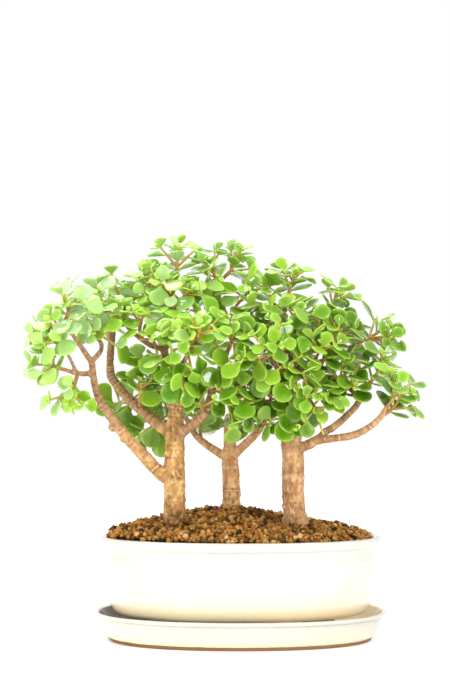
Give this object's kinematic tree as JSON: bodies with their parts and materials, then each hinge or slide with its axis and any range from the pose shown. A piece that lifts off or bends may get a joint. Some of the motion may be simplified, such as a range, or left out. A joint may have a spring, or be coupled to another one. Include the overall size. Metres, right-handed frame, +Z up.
{
  "type": "jade bonsai",
  "caption": "Group of three small jade trees with thick round leaves, rooted in granular soil in a glazed oval pot that stands on feet in its own oval drip tray.",
  "frame": {"origin": "middle of the drip tray's flat underside", "axes": "+Z up, +X along the pot's long side to the right of its front, -Y towards the front"},
  "size_m": [0.3107, 0.1919, 0.3123],
  "materials": {
    "glaze": "gloss",
    "mesh": "matte",
    "soil": "matte",
    "bark": "matte",
    "leaf": "satin"
  },
  "bodies": {
    "root": {"drip_tray": "glaze", "pot": "glaze", "drain_mesh": "mesh", "soil": "soil", "left_tree": "bark", "middle_tree": "bark", "right_tree": "bark", "shoot_01": "leaf", "shoot_02": "leaf", "shoot_03": "leaf", "shoot_04": "leaf", "shoot_05": "leaf", "shoot_06": "leaf", "shoot_07": "leaf", "shoot_08": "leaf", "shoot_09": "leaf", "shoot_10": "leaf", "shoot_11": "leaf", "shoot_12": "leaf", "shoot_13": "leaf", "shoot_14": "leaf", "shoot_15": "leaf", "shoot_16": "leaf", "shoot_17": "leaf", "shoot_18": "leaf", "shoot_19": "leaf", "shoot_20": "leaf", "shoot_21": "leaf", "shoot_22": "leaf", "shoot_23": "leaf", "shoot_24": "leaf", "shoot_25": "leaf", "shoot_26": "leaf", "shoot_27": "leaf", "shoot_28": "leaf", "shoot_29": "leaf", "shoot_30": "leaf", "shoot_31": "leaf", "shoot_32": "leaf", "shoot_33": "leaf", "shoot_34": "leaf", "shoot_35": "leaf", "shoot_36": "leaf", "shoot_37": "leaf", "shoot_38": "leaf", "shoot_39": "leaf", "shoot_40": "leaf", "shoot_41": "leaf", "shoot_42": "leaf", "shoot_43": "leaf", "shoot_44": "leaf", "shoot_45": "leaf", "shoot_46": "leaf", "shoot_47": "leaf", "shoot_48": "leaf", "shoot_49": "leaf", "shoot_50": "leaf", "shoot_51": "leaf", "shoot_52": "leaf", "shoot_53": "leaf"}
  },
  "joints": []
}
